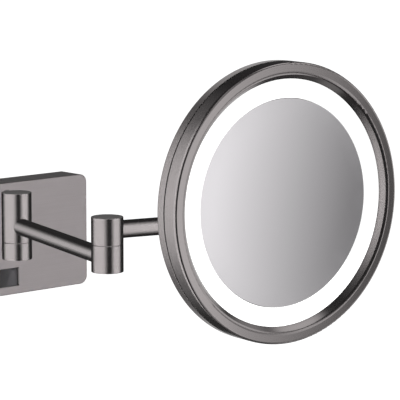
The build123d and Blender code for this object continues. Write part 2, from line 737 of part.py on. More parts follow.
LED_CIRCLE = (LED_CHANNEL_INNER + LED_CHANNEL_OUTER) / 2
HEAD_LEAD_DEPTH = (CARRIER_BACK + BACK_INSIDE) / 2
EAR_INNER = BARREL_LENGTH / 2 + TILT_BUSH_FLANGE + TILT_WASHER
BARREL_SOCKET_DEPTH = TILT_AXIS_DEPTH + BARREL_BORE_RADIUS + BARREL_SOCKET_LAND
LEAD_SWING_GAP = LEAD_RADIUS * sin(radians(TILT_LIMIT)) + LEAD_JOINT_GAP


def rim_front():
    """Front ring: rounded outer edge, flat face, cone down to the lip over the light."""
    lip_back = LIGHT_RECESS - SEAT_GAP
    wall_inside = RIM_RADIUS - RIM_WALL
    outline = (
        (RIM_RADIUS, 0),
        (RIM_INNER_FRONT_RADIUS, 0),
        (RIM_LIP_RADIUS, lip_back - LIP_LAND),
        (RIM_LIP_RADIUS, lip_back),
        (DIFFUSER_RADIUS + LIP_LAND, lip_back),
        (RIM_INNER_FRONT_RADIUS + LIP_LAND, RIM_SHEET),
        (wall_inside, RIM_SHEET),
        (wall_inside, RIM_FRONT_DEPTH),
        (RIM_RADIUS, RIM_FRONT_DEPTH),
    )
    rounds = (
        (outline[0], RIM_EDGE_RADIUS),
        (outline[1], RIM_INNER_EDGE_RADIUS),
        (outline[-1], GROOVE_EDGE),
    )
    return turned(outline, rounds)


def rear_shell():
    """Back dish: spigot inside the front ring, rear band, flat back with screw bosses."""
    spigot_inside = SPIGOT_RADIUS - SPIGOT_WALL
    rib_inside = CARRIER_RIB_RADIUS - CARRIER_RIB
    outline = (
        (SPIGOT_RADIUS, REAR_BAND_DEPTH - SPIGOT_REACH),
        (SPIGOT_RADIUS, REAR_BAND_DEPTH),
        (RIM_RADIUS, REAR_BAND_DEPTH),
        (RIM_RADIUS, HEAD_DEPTH),
        (LEAD_PASSAGE_RADIUS, HEAD_DEPTH),
        (LEAD_PASSAGE_RADIUS, BACK_INSIDE),
        (rib_inside, BACK_INSIDE),
        (rib_inside, CARRIER_BACK),
        (CARRIER_RIB_RADIUS, CARRIER_BACK),
        (CARRIER_RIB_RADIUS, BACK_INSIDE),
        (spigot_inside, BACK_INSIDE),
        (spigot_inside, REAR_BAND_DEPTH - SPIGOT_REACH),
    )
    body = turned(outline, ((outline[2], GROOVE_EDGE), (outline[3], BACK_EDGE_RADIUS)))
    carrier_tip = CARRIER_DEPTH + CARRIER_SCREW_LENGTH + HOLE_END_GAP
    carrier_screw = CARRIER_SCREW_DIAMETER / 2
    for x, z in around(SCREWS_PER_CIRCLE, CARRIER_SCREW_CIRCLE):
        body += rod((x, CARRIER_BACK, z), (x, BACK_INSIDE, z), carrier_screw + BOSS_WALL)
        body -= rod((x, CARRIER_BACK, z), (x, carrier_tip, z), carrier_screw + PRESS_FIT)
    hinge_tip = HEAD_DEPTH + HINGE_PLATE - HINGE_SCREW_LENGTH - HOLE_END_GAP
    hinge_screw = HINGE_SCREW_DIAMETER / 2
    for x, z in around(SCREWS_PER_CIRCLE, HINGE_SCREW_CIRCLE):
        body += rod((x, CARRIER_BACK + HOLE_END_GAP, z), (x, BACK_INSIDE, z), hinge_screw + BOSS_WALL)
        body -= rod((x, hinge_tip, z), (x, HEAD_DEPTH + OVERCUT, z), hinge_screw + PRESS_FIT)
    return body


def glass_ball(shift):
    """Ball whose surface is the hollow-ground glass front, moved back by a shift."""
    centre = GLASS_RECESS + GLASS_SAG - GLASS_CURVE_RADIUS
    return Pos(0, centre + shift, 0) * Sphere(GLASS_CURVE_RADIUS)


def mirror_glass():
    """Round glass with both faces on the hollow-ground curve."""
    disc = rod((0, GLASS_RECESS - OVERCUT, 0), (0, CARRIER_DEPTH, 0), GLASS_RADIUS)
    return (disc & glass_ball(GLASS_THICKNESS)) - glass_ball(0)


def glass_pad():
    """Rubber ring on the tray's floor, its front fitted to the back of the glass."""
    pad = hollow_rod((0, GLASS_RECESS, 0), (0, CARRIER_DEPTH, 0), PAD_OUTER_RADIUS, PAD_INNER_RADIUS)
    return pad - glass_ball(GLASS_THICKNESS + SEAT_GAP)


def light_diffuser():
    return hollow_rod((0, LIGHT_RECESS, 0), (0, DIFFUSER_BACK, 0), DIFFUSER_RADIUS, DIFFUSER_INNER_RADIUS)


def glass_carrier():
    """Moulded tray: flat floor behind the glass and two walls that form the light channel."""
    front = DIFFUSER_BACK + SEAT_GAP
    edge = SPIGOT_RADIUS - SPIGOT_WALL - CARRIER_EDGE_GAP
    outline = (
        (LEAD_PASSAGE_RADIUS, CARRIER_DEPTH),
        (DIFFUSER_INNER_RADIUS, CARRIER_DEPTH),
        (DIFFUSER_INNER_RADIUS, front),
        (LED_CHANNEL_INNER, front),
        (LED_CHANNEL_INNER, CARRIER_DEPTH),
        (LED_CHANNEL_OUTER, CARRIER_DEPTH),
        (LED_CHANNEL_OUTER, front),
        (DIFFUSER_RADIUS, front),
        (DIFFUSER_RADIUS, CARRIER_DEPTH),
        (edge, CARRIER_DEPTH),
        (edge, CARRIER_BACK),
        (LEAD_PASSAGE_RADIUS, CARRIER_BACK),
    )
    body = turned(outline)
    for x, z in around(SCREWS_PER_CIRCLE, CARRIER_SCREW_CIRCLE):
        body -= screw_hole(
            (x, CARRIER_DEPTH, z),
            (x, CARRIER_BACK + OVERCUT, z),
            CARRIER_SCREW_DIAMETER,
            CARRIER_SCREW_HEAD,
        )
    hole = LEAD_RADIUS + LEAD_GAP
    return body - rod((0, CARRIER_DEPTH, -LED_CIRCLE), (0, CARRIER_BACK, -LED_CIRCLE), hole)


def carrier_screws():
    screws = [
        flat_screw(
            (x, CARRIER_DEPTH, z),
            (x, CARRIER_DEPTH + CARRIER_SCREW_LENGTH, z),
            CARRIER_SCREW_DIAMETER,
            CARRIER_SCREW_HEAD,
        )
        for x, z in around(SCREWS_PER_CIRCLE, CARRIER_SCREW_CIRCLE)
    ]
    return Compound(children=screws)


def led_board():
    front = CARRIER_DEPTH - LED_BOARD_SHEET
    inner = LED_CHANNEL_INNER + LED_BOARD_GAP
    outer = LED_CHANNEL_OUTER - LED_BOARD_GAP
    return hollow_rod((0, front, 0), (0, CARRIER_DEPTH, 0), outer, inner)


def leds():
    """Light-emitting diodes on the board, evenly round the channel."""
    back = CARRIER_DEPTH - LED_BOARD_SHEET
    chip = block(
        (-LED_LENGTH / 2, back - LED_HEIGHT, LED_CIRCLE - LED_WIDTH / 2),
        (LED_LENGTH / 2, back, LED_CIRCLE + LED_WIDTH / 2),
    )
    return Compound(children=[Rot(0, 360.0 * i / LED_COUNT, 0) * chip for i in range(LED_COUNT)])


def hinge_bracket():
    """Round plate on the mirror's back with two ears for the tilt screws."""
    plate_back = HEAD_DEPTH + HINGE_PLATE
    body = rod((0, HEAD_DEPTH, 0), (0, plate_back, 0), HINGE_PLATE_RADIUS)
    for side in (-1, 1):
        inner = side * EAR_INNER
        outer = side * (EAR_INNER + EAR_THICKNESS)
        ear = block(
            (min(inner, outer), plate_back - HINGE_PLATE / 2, -EAR_RADIUS),
            (max(inner, outer), TILT_AXIS_DEPTH, EAR_RADIUS),
        )
        ear += rod((inner, TILT_AXIS_DEPTH, 0), (outer, TILT_AXIS_DEPTH, 0), EAR_RADIUS)
        beyond = (outer + side * OVERCUT, TILT_AXIS_DEPTH, 0)
        ear -= rod((0, TILT_AXIS_DEPTH, 0), beyond, TILT_SCREW_RADIUS + PRESS_FIT)
        body += ear
    body -= rod((0, HEAD_DEPTH, 0), (0, plate_back, 0), LEAD_PASSAGE_RADIUS)
    for x, z in around(SCREWS_PER_CIRCLE, HINGE_SCREW_CIRCLE):
        body -= screw_hole(
            (x, plate_back, z), (x, HEAD_DEPTH - OVERCUT, z), HINGE_SCREW_DIAMETER, HINGE_SCREW_HEAD
        )
    return body


def hinge_screws():
    plate_back = HEAD_DEPTH + HINGE_PLATE
    screws = [
        flat_screw(
            (x, plate_back, z),
            (x, plate_back - HINGE_SCREW_LENGTH, z),
            HINGE_SCREW_DIAMETER,
            HINGE_SCREW_HEAD,
        )
        for x, z in around(SCREWS_PER_CIRCLE, HINGE_SCREW_CIRCLE)
    ]
    return Compound(children=screws)


def tilt_screws():
    """Shoulder screws through the ears into the barrel's bushes."""
    screws = []
    for side in (-1, 1):
        tip = side * (BARREL_LENGTH / 2 - TILT_BUSH_LENGTH)
        seat = side * (EAR_INNER + EAR_THICKNESS)
        top = seat + side * TILT_SCREW_HEAD
        screw = rod((tip, TILT_AXIS_DEPTH, 0), (seat, TILT_AXIS_DEPTH, 0), TILT_SCREW_RADIUS)
        screw += rod((seat, TILT_AXIS_DEPTH, 0), (top, TILT_AXIS_DEPTH, 0), TILT_SCREW_HEAD_RADIUS)
        socket = Plane((top, TILT_AXIS_DEPTH, 0), z_dir=(-side, 0, 0))
        screw -= hexagon_bar(socket, TILT_SCREW_SOCKET, TILT_SCREW_SOCKET_DEPTH)
        screws.append(screw)
    return Compound(children=screws)


def tilt_rings(start, end, outer):
    """Matching rings about the tilt axis, one at each end of the barrel."""
    inner = TILT_SCREW_RADIUS + RUNNING_FIT
    return [
        hollow_rod((side * start, TILT_AXIS_DEPTH, 0), (side * end, TILT_AXIS_DEPTH, 0), outer, inner)
        for side in (-1, 1)
    ]


def tilt_washers():
    start = BARREL_LENGTH / 2 + TILT_BUSH_FLANGE
    return Compound(children=tilt_rings(start, start + TILT_WASHER, TILT_BUSH_FLANGE_RADIUS))


def tilt_bushes():
    end = BARREL_LENGTH / 2
    barrels = tilt_rings(end - TILT_BUSH_LENGTH, end, BARREL_BORE_RADIUS - PRESS_FIT)
    flanges = tilt_rings(end, end + TILT_BUSH_FLANGE, TILT_BUSH_FLANGE_RADIUS)
    return Compound(children=[barrel + flange for barrel, flange in zip(barrels, flanges)])


def tilt_barrel():
    """Cross barrel on the head stub, open in front so that the lead can swing with the mirror."""
    half = BARREL_LENGTH / 2
    axis_point = (0, TILT_AXIS_DEPTH, 0)
    body = hollow_rod(
        (-half, TILT_AXIS_DEPTH, 0), (half, TILT_AXIS_DEPTH, 0), BARREL_RADIUS, BARREL_BORE_RADIUS
    )
    body -= rod((0, BARREL_SOCKET_DEPTH, 0), (0, HEAD_REACH, 0), TUBE_RADIUS + PRESS_FIT)
    body -= rod(axis_point, (0, HEAD_REACH, 0), TUBE_BORE_RADIUS)
    tilt = radians(TILT_LIMIT)
    half_window = BARREL_RADIUS * sin(tilt) + LEAD_RADIUS / cos(tilt) + TILT_WINDOW_GAP
    return body - block(
        (-TILT_WINDOW_WIDTH / 2, TILT_AXIS_DEPTH - BARREL_RADIUS - OVERCUT, -half_window),
        (TILT_WINDOW_WIDTH / 2, TILT_AXIS_DEPTH, half_window),
    )


def head_stub():
    """Short tube from the head pivot to the tilt barrel."""
    start = (0, BARREL_SOCKET_DEPTH, 0)
    return hollow_rod(start, (0, HEAD_REACH - SOCKET_END, 0), TUBE_RADIUS, TUBE_BORE_RADIUS)


def yoke_lead():
    """Lead from the head pivot's seam to just short of the tilt axis."""
    seam = HEAD_SEAM_Z - MIRROR_Z + LEAD_JOINT_GAP / 2
    points = [(0, HEAD_REACH, seam), (0, HEAD_REACH, 0), (0, TILT_AXIS_DEPTH + LEAD_SWING_GAP, 0)]
    return lead(points, LEAD_RADIUS, LEAD_BEND)


def head_lead():
    """Lead from the tilt axis into the back and down to the light's circuit board."""
    points = [
        (0, TILT_AXIS_DEPTH - LEAD_SWING_GAP, 0),
        (0, HEAD_LEAD_DEPTH, 0),
        (0, HEAD_LEAD_DEPTH, -LED_CIRCLE),
        (0, CARRIER_DEPTH, -LED_CIRCLE),
    ]
    return lead(points, LEAD_RADIUS, HEAD_LEAD_BEND)


# Every node, grouped by the unit that it is built into
def wall_unit():
    hardware = pivot_hardware("post", POST)
    return {
        "wall_bracket": wall_bracket(),
        "wall_cover": wall_cover(),
        "cover_screws": cover_screws(),
        "cable_grommet": cable_grommet(),
        "led_driver": led_driver(),
        "driver_screws": driver_screws(),
        "terminal_block": terminal_block(),
        "terminal_screws": terminal_screws(),
        "inner_wires": inner_wires(),
        "switch_housing": switch_housing(),
        "switch_rocker": switch_rocker(),
        "post_stub": post_stub(),
        "stub_screws": stub_screws(),
        "wall_lead": wall_lead(),
        "post_base": Pos(*POST)
        * lower_half(POST_BASE_HEIGHT, POST_BASE_HEIGHT / 2, 90.0, STUB_RADIUS, STUB_BORE_RADIUS),
        "post_base_cap": Pos(*POST) * mirror(end_cap(POST_BASE_HEIGHT), about=Plane.XY),
        **hardware,
    }


def first_arm():
    start = at_height(POST, REAR_ARM_Z)
    end = at_height(ELBOW, REAR_ARM_Z)
    return {
        "post_sleeve": Pos(*POST) * upper_half(POST_SLEEVE_HEIGHT, REAR_ARM_RISE, REAR_ARM_ANGLE),
        "post_top_cap": Pos(*POST) * end_cap(POST_SLEEVE_HEIGHT),
        "rear_arm_tube": arm_tube(start, end, REAR_ARM_ANGLE),
        "rear_arm_lead": arm_lead(POST, ELBOW, REAR_ARM_Z),
        "elbow_lower": Pos(*ELBOW)
        * lower_half(HALF_HEIGHT, ARM_OFFSET, REAR_ARM_ANGLE + 180, TUBE_RADIUS, TUBE_BORE_RADIUS),
        "elbow_bottom_cap": Pos(*ELBOW) * mirror(end_cap(HALF_HEIGHT), about=Plane.XY),
        **pivot_hardware("elbow", ELBOW),
    }


def second_arm():
    start = at_height(ELBOW, FRONT_ARM_Z)
    end = at_height(HEAD, FRONT_ARM_Z)
    return {
        "elbow_upper": Pos(*ELBOW) * upper_half(HALF_HEIGHT, ARM_OFFSET, FRONT_ARM_ANGLE),
        "elbow_top_cap": Pos(*ELBOW) * end_cap(HALF_HEIGHT),
        "front_arm_tube": arm_tube(start, end, FRONT_ARM_ANGLE),
        "front_arm_lead": arm_lead(ELBOW, HEAD, FRONT_ARM_Z),
        "head_lower": Pos(*HEAD)
        * lower_half(HALF_HEIGHT, ARM_OFFSET, FRONT_ARM_ANGLE + 180, TUBE_RADIUS, TUBE_BORE_RADIUS),
        "head_bottom_cap": Pos(*HEAD) * mirror(end_cap(HALF_HEIGHT), about=Plane.XY),
        **pivot_hardware("head", HEAD),
    }


def head_yoke():
    return {
        "head_upper": Pos(*HEAD) * upper_half(HALF_HEIGHT, ARM_OFFSET, MIRROR_ANGLE),
        "head_top_cap": Pos(*HEAD) * end_cap(HALF_HEIGHT),
        "head_stub": HEAD_PLACE * head_stub(),
        "tilt_barrel": HEAD_PLACE * tilt_barrel(),
        "tilt_bushes": HEAD_PLACE * tilt_bushes(),
        "yoke_lead": HEAD_PLACE * yoke_lead(),
    }


def mirror_head():
    shapes = {
        "rim_front": rim_front(),
        "rear_shell": rear_shell(),
        "glass_carrier": glass_carrier(),
        "carrier_screws": carrier_screws(),
        "mirror_glass": mirror_glass(),
        "glass_pad": glass_pad(),
        "light_diffuser": light_diffuser(),
        "led_board": led_board(),
        "leds": leds(),
        "hinge_bracket": hinge_bracket(),
        "hinge_screws": hinge_screws(),
        "tilt_screws": tilt_screws(),
        "tilt_washers": tilt_washers(),
        "head_lead": head_lead(),
    }
    return {name: HEAD_PLACE * shape for name, shape in shapes.items()}


NODES = {**wall_unit(), **first_arm(), **second_arm(), **head_yoke(), **mirror_head()}
os.makedirs("parts", exist_ok=True)
for name, shape in NODES.items():
    export_step(shape, f"parts/{name}.step")
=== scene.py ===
import json
from math import radians

import bmesh
import bpy
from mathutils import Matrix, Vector


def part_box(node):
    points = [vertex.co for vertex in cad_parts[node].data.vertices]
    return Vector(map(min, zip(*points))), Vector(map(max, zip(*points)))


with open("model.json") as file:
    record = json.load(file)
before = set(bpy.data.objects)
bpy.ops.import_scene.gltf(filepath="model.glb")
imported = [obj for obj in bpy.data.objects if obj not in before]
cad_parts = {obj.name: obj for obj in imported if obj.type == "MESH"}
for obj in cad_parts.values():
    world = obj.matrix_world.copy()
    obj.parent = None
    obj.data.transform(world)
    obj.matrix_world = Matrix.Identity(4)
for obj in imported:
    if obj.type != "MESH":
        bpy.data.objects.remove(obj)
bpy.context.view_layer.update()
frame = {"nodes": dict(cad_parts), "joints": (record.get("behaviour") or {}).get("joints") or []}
NODES = frame["nodes"]
JOINTS = {joint["name"]: joint for joint in frame["joints"]}
MM = 0.001

# Camera, as in the photograph: its place from the post's seam, in metres and degrees
CAMERA_FROM_POST = Vector((-1.24207, -1.60795, 0.33765))
CAMERA_DOWN = 8.497
CAMERA_TURN = -41.99
CAMERA_REACH = 200.0
SENSOR_WIDTH = 36.0
FRAME_WIDTH_PX = 400
FOCAL_PX = 2464.3


# Shared helpers
def middle(node):
    """Middle of a piece's box."""
    low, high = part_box(node)
    return (low + high) / 2


def level(direction):
    """Unit vector of a direction, laid flat."""
    return Vector((direction.x, direction.y, 0)).normalized()


def linear(hex_code):
    """Linear colour, with alpha, of an sRGB hex colour."""
    parts = [int(hex_code[i:i + 2], 16) / 255 for i in (1, 3, 5)]
    return [c / 12.92 if c <= 0.04045 else ((c + 0.055) / 1.055) ** 2.4 for c in parts] + [1.0]


def add(tree, kind, inputs=None, **settings):
    """Adds a node: settings are its properties, inputs are constants or sockets to link from."""
    node = tree.nodes.new(kind)
    for name, value in settings.items():
        setattr(node, name, value)
    for key, value in (inputs or {}).items():
        if isinstance(value, bpy.types.NodeSocket):
            tree.links.new(value, node.inputs[key])
        else:
            node.inputs[key].default_value = value
    return node


def new_material(name):
    """Empty node material and its tree."""
    material = bpy.data.materials.new(name)
    material.use_nodes = True
    material.node_tree.nodes.clear()
    return material, material.node_tree


def show(tree, shader):
    """Puts a shader on the surface."""
    add(tree, "ShaderNodeOutputMaterial", {"Surface": shader})


def dress(material, *names):
    """Gives pieces their material."""
    for name in names:
        slots = NODES[name].data.materials
        slots.clear()
        slots.append(material)


# Axes of the turned pieces
UP = Vector((0, 0, 1))
WALL_AXIS = Vector((0, 1, 0))
POST = Vector(JOINTS["post_swivel"]["pos_m"])
ELBOW = Vector(JOINTS["elbow_swivel"]["pos_m"])
HEAD = Vector(JOINTS["head_swivel"]["pos_m"])
TILT = Vector(JOINTS["mirror_tilt"]["pos_m"])
TILT_AXIS = Vector(JOINTS["mirror_tilt"]["axis"]).normalized()
MIRROR = middle("rim_front")
MIRROR_FRONT = UP.cross(TILT_AXIS) * -1

# Brushed black chrome: a dark plated metal whose fine brushing softens every reflection
CHROME_TONES = ("#aca6a6", "#b8b2b2")
PLATE_TONES = ("#979192", "#a09a9b")
TURNED_ROUGHNESS = (0.17, 0.21)
PLATE_ROUGHNESS = (0.29, 0.35)
BRUSH_LINE_MM = 0.7
BRUSH_RUN_MM = 40.0
BRUSH_DEPTH_MM = 0.001
BRUSH_DETAIL = 3.0
BRUSH_HARSHNESS = 0.6
# Painted shade in its grooves and corners, a darkening of its colour where other surfaces close in: how far
# it reaches and how fast it deepens
RIM_SHADE_MM = 3.0
PLATE_SHADE_MM = 1.5
PIVOT_SHADE_MM = 0.1
SHADE_POWER = 3.0
SHADE_SAMPLES = 16
PAINTED_SHADE_TONE = "#000000"


def brushed_chrome(tree, pattern, tones, roughness, shade_mm):
    """Metal shader from brush-line coordinates in metres, drawn coarser than the real 0.1 mm lines, with
    shade painted into its colour in grooves and corners.
    """
    lines = add(
        tree,
        "ShaderNodeTexNoise",
        {
            "Vector": pattern,
            "Scale": 1 / (BRUSH_LINE_MM * MM),
            "Detail": BRUSH_DETAIL,
            "Roughness": BRUSH_HARSHNESS,
        },
    )
    colour = add(
        tree,
        "ShaderNodeMix",
        {"Factor": lines.outputs["Fac"], "A": linear(tones[0]), "B": linear(tones[1])},
        data_type="RGBA",
    )
    rough = add(
        tree,
        "ShaderNodeMapRange",
        {"Value": lines.outputs["Fac"], "To Min": roughness[0], "To Max": roughness[1]},
    )
    bump = add(
        tree,
        "ShaderNodeBump",
        {"Height": lines.outputs["Fac"], "Distance": BRUSH_DEPTH_MM * MM},
    )
    # Painted shade: an occlusion node darkens the colour towards the shade tone in grooves, seams and
    # corners
    open_share = add(
        tree, "ShaderNodeAmbientOcclusion", {"Distance": shade_mm * MM}, samples=SHADE_SAMPLES
    )
    depth = add(
        tree, "ShaderNodeMath", {0: open_share.outputs["AO"], 1: SHADE_POWER}, operation="POWER"
    )
    shade = add(
        tree,
        "ShaderNodeMix",
        {"Factor": depth.outputs["Value"], "A": linear(PAINTED_SHADE_TONE), "B": colour.outputs["Result"]},
        data_type="RGBA",
    )
    metal = add(
        tree,
        "ShaderNodeBsdfPrincipled",
        {
            "Base Color": shade.outputs["Result"],
            "Metallic": 1.0,
            "Roughness": rough.outputs["Result"],
            "Normal": bump.outputs["Normal"],
        },
    )
    return metal.outputs["BSDF"]


def straight_chrome(name):
    """Brush lines run level along the piece, as on flat stock brushed by a belt."""
    material, tree = new_material(name)
    place = add(tree, "ShaderNodeTexCoord")
    pattern = add(
        tree,
        "ShaderNodeVectorMath",
        {0: place.outputs["Object"], 1: (BRUSH_LINE_MM / BRUSH_RUN_MM, 1, 1)},
        operation="MULTIPLY",
    )
    metal = brushed_chrome(
        tree, pattern.outputs["Vector"], PLATE_TONES, PLATE_ROUGHNESS, PLATE_SHADE_MM
    )
    show(tree, metal)
    return material


def turned_chrome(name, centre, axis, shade_mm=PIVOT_SHADE_MM):
    """Brush lines run round an axis, as on a piece polished while it turns."""
    material, tree = new_material(name)
    place = add(tree, "ShaderNodeTexCoord")
    offset = add(
        tree, "ShaderNodeVectorMath", {0: place.outputs["Object"], 1: centre}, operation="SUBTRACT"
    )
    away = offset.outputs["Vector"]
    along = add(tree, "ShaderNodeVectorMath", {0: away, 1: axis}, operation="DOT_PRODUCT")
    across = add(tree, "ShaderNodeVectorMath", {0: away, 1: axis}, operation="CROSS_PRODUCT")
    radius = add(tree, "ShaderNodeVectorMath", {0: across.outputs["Vector"]}, operation="LENGTH")
    pattern = add(
        tree, "ShaderNodeCombineXYZ", {"X": along.outputs["Value"], "Y": radius.outputs["Value"]}
    )
    metal = brushed_chrome(tree, pattern.outputs["Vector"], CHROME_TONES, TURNED_ROUGHNESS, shade_mm)
    show(tree, metal)
    return material


dress(straight_chrome("black_chrome_brushed_plate"), "wall_cover", "hinge_bracket")
dress(
    turned_chrome("black_chrome_turned_post", POST, UP),
    "post_base", "post_base_cap", "post_sleeve", "post_top_cap",
)
dress(
    turned_chrome("black_chrome_turned_elbow", ELBOW, UP),
    "elbow_lower", "elbow_bottom_cap", "elbow_upper", "elbow_top_cap",
)
dress(
    turned_chrome("black_chrome_turned_head_pivot", HEAD, UP),
    "head_lower", "head_bottom_cap", "head_upper", "head_top_cap",
)
dress(
    turned_chrome("black_chrome_turned_rear_arm", middle("rear_arm_tube"), level(ELBOW - POST)),
    "rear_arm_tube",
)
dress(
    turned_chrome("black_chrome_turned_front_arm", middle("front_arm_tube"), level(HEAD - ELBOW)),
    "front_arm_tube",
)
dress(turned_chrome("black_chrome_turned_wall_stub", middle("post_stub"), WALL_AXIS), "post_stub")
dress(turned_chrome("black_chrome_turned_head_stub", middle("head_stub"), MIRROR_FRONT), "head_stub")
dress(turned_chrome("black_chrome_turned_barrel", TILT, TILT_AXIS), "tilt_barrel")
dress(
    turned_chrome("black_chrome_turned_rim", MIRROR, MIRROR_FRONT, RIM_SHADE_MM),
    "rim_front", "rear_shell",
)

# Grain of the moulded, turned and plated pieces: its detail, and how much it shifts the gloss
GRAIN_DETAIL = 2.0
GRAIN_GLOSS = 0.04


def mottled(name, colour, shade, roughness, grain_mm, depth_mm, metallic=0.0):
    """Surface whose fine grain shifts the colour and the gloss a little and dimples the skin."""
    material, tree = new_material(name)
    place = add(tree, "ShaderNodeTexCoord")
    grain = add(
        tree,
        "ShaderNodeTexNoise",
        {"Vector": place.outputs["Object"], "Scale": 1 / (grain_mm * MM), "Detail": GRAIN_DETAIL},
    )
    tone = add(
        tree,
        "ShaderNodeMix",
        {"Factor": grain.outputs["Fac"], "A": linear(shade), "B": linear(colour)},
        data_type="RGBA",
    )
    rough = add(
        tree,
        "ShaderNodeMapRange",
        {
            "Value": grain.outputs["Fac"],
            "To Min": roughness - GRAIN_GLOSS,
            "To Max": roughness + GRAIN_GLOSS,
        },
    )
    bump = add(tree, "ShaderNodeBump", {"Height": grain.outputs["Fac"], "Distance": depth_mm * MM})
    surface = add(
        tree,
        "ShaderNodeBsdfPrincipled",
        {
            "Base Color": tone.outputs["Result"],
            "Metallic": metallic,
            "Roughness": rough.outputs["Result"],
            "Normal": bump.outputs["Normal"],
        },
    )
    show(tree, surface.outputs["BSDF"])
    return material


# Moulded ABS of the switch, with a fine spark-eroded skin that breaks its shine into a satin
SPARK_ERODED = {"roughness": 0.42, "grain_mm": 0.6, "depth_mm": 0.006}
dress(mottled("abs_spark_eroded_black", "#2b2b2c", "#242425", **SPARK_ERODED), "switch_housing")
dress(mottled("abs_spark_eroded_grey", "#504e51", "#4a484b", **SPARK_ERODED), "switch_rocker")
# Moulded ABS of the glass carrier, smooth and white
dress(
    mottled("abs_moulded_white", "#e6e6e2", "#deded9", roughness=0.4, grain_mm=1.2, depth_mm=0.004),
    "glass_carrier",
)
# Polycarbonate case of the driver, smooth with a low sheen
dress(
    mottled(
        "polycarbonate_moulded_white", "#e8e8e6", "#e0e0dd", roughness=0.35, grain_mm=1.5, depth_mm=0.003
    ),
    "led_driver",
)
# Nylon of the terminal block, a little yellow and waxy
dress(
    mottled("nylon_moulded_natural", "#e3dfd0", "#dad5c4", roughness=0.5, grain_mm=1.0, depth_mm=0.004),
    "terminal_block",
)
# Acetal bushes and washers, milk white and slippery
dress(
    mottled("acetal_turned_white", "#eceae5", "#e4e2dc", roughness=0.38, grain_mm=0.8, depth_mm=0.003),
    "post_bush", "elbow_bush", "head_bush", "tilt_bushes", "tilt_washers",
)
# Rubber of the grommet and the pad, dull black with a dusty grain
dress(
    mottled("rubber_moulded_black", "#262627", "#1e1e1f", roughness=0.75, grain_mm=0.5, depth_mm=0.01),
    "cable_grommet", "glass_pad",
)
# Soft PVC sheath of the leads, smooth and faintly glossy
dress(
    mottled("pvc_extruded_black", "#2a2a2b", "#252526", roughness=0.45, grain_mm=1.5, depth_mm=0.003),
    "wall_lead", "rear_arm_lead", "front_arm_lead", "yoke_lead", "head_lead", "inner_wires",
)
# Zinc-plated steel, cool grey with the cloudy spangle of the plating
dress(
    mottled(
        "steel_zinc_plated", "#c9cccb", "#b4b8b8", roughness=0.36, grain_mm=2.5, depth_mm=0.002, metallic=1.0
    ),
    "wall_bracket", "cover_screws", "driver_screws", "stub_screws", "carrier_screws",
    "hinge_screws", "tilt_screws",
)
# Machined steel of the pivots, bright and slightly warm
dress(
    mottled(
        "steel_machined", "#b9b7b3", "#aaa8a4", roughness=0.3, grain_mm=0.8, depth_mm=0.002, metallic=1.0
    ),
    *[f"{pivot}_{piece}" for pivot in ("post", "elbow", "head") for piece in ("bolt", "nut", "spring")],
)
# Brass of the terminal screws, yellow with a dull bloom
dress(
    mottled(
        "brass_machined", "#cda95a", "#bf9a4c", roughness=0.34, grain_mm=0.8, depth_mm=0.002, metallic=1.0
    ),
    "terminal_screws",
)
# White solder mask on the lamp board, flat and slightly glossy
dress(
    mottled("solder_mask_white", "#edeeea", "#e5e6e1", roughness=0.35, grain_mm=1.0, depth_mm=0.002),
    "led_board",
)
# Phosphor over the diodes, a chalky yellow
dress(
    mottled("led_phosphor_yellow", "#efd777", "#e6c95c", roughness=0.55, grain_mm=0.4, depth_mm=0.003),
    "leds",
)

# Silvered glass, ground hollow: a clean mirror with a faint cloud in its gloss and a violet cast
GLASS_TINT = "#f7f4f7"
GLASS_ROUGHNESS = (0.0, 0.02)
GLASS_CLOUD_MM = 60.0


def silvered_glass():
    """Mirror whose gloss varies slowly over the glass."""
    material, tree = new_material("glass_silvered_concave")
    place = add(tree, "ShaderNodeTexCoord")
    cloud = add(
        tree, "ShaderNodeTexNoise", {"Vector": place.outputs["Object"], "Scale": 1 / (GLASS_CLOUD_MM * MM)}
    )
    rough = add(
        tree,
        "ShaderNodeMapRange",
        {"Value": cloud.outputs["Fac"], "To Min": GLASS_ROUGHNESS[0], "To Max": GLASS_ROUGHNESS[1]},
    )
    mirror = add(
        tree,
        "ShaderNodeBsdfPrincipled",
        {"Base Color": linear(GLASS_TINT), "Metallic": 1.0, "Roughness": rough.outputs["Result"]},
    )
    show(tree, mirror.outputs["BSDF"])
    return material


dress(silvered_glass(), "mirror_glass")

# Opal acrylic lit from behind: an even white glow, faintly uneven between the diodes
OPAL_TINT = "#f4f4f2"
OPAL_LIGHT = "#ffffff"
OPAL_ROUGHNESS = 0.4
OPAL_GLOW = (0.8, 0.86)
OPAL_CLOUD_MM = 8.0


def opal_acrylic():
    """White plastic whose own light varies a little from place to place."""
    material, tree = new_material("acrylic_opal_lit")
    place = add(tree, "ShaderNodeTexCoord")
    cloud = add(
        tree, "ShaderNodeTexNoise", {"Vector": place.outputs["Object"], "Scale": 1 / (OPAL_CLOUD_MM * MM)}
    )
    glow = add(
        tree,
        "ShaderNodeMapRange",
        {"Value": cloud.outputs["Fac"], "To Min": OPAL_GLOW[0], "To Max": OPAL_GLOW[1]},
    )
    opal = add(
        tree,
        "ShaderNodeBsdfPrincipled",
        {
            "Base Color": linear(OPAL_TINT),
            "Roughness": OPAL_ROUGHNESS,
            "Emission Color": linear(OPAL_LIGHT),
            "Emission Strength": glow.outputs["Result"],
        },
    )
    show(tree, opal.outputs["BSDF"])
    return material


dress(opal_acrylic(), "light_diffuser")

# Studio: balls and cards of light about the part, with their directions taken from the camera
STUDIO_CENTRE = (0, -0.2, 0.05)
BALL_FINENESS = 5
TO_CAMERA = level(CAMERA_FROM_POST)
TO_RIGHT = UP.cross(TO_CAMERA)
QUAD = [(0, 1, 2, 3)]


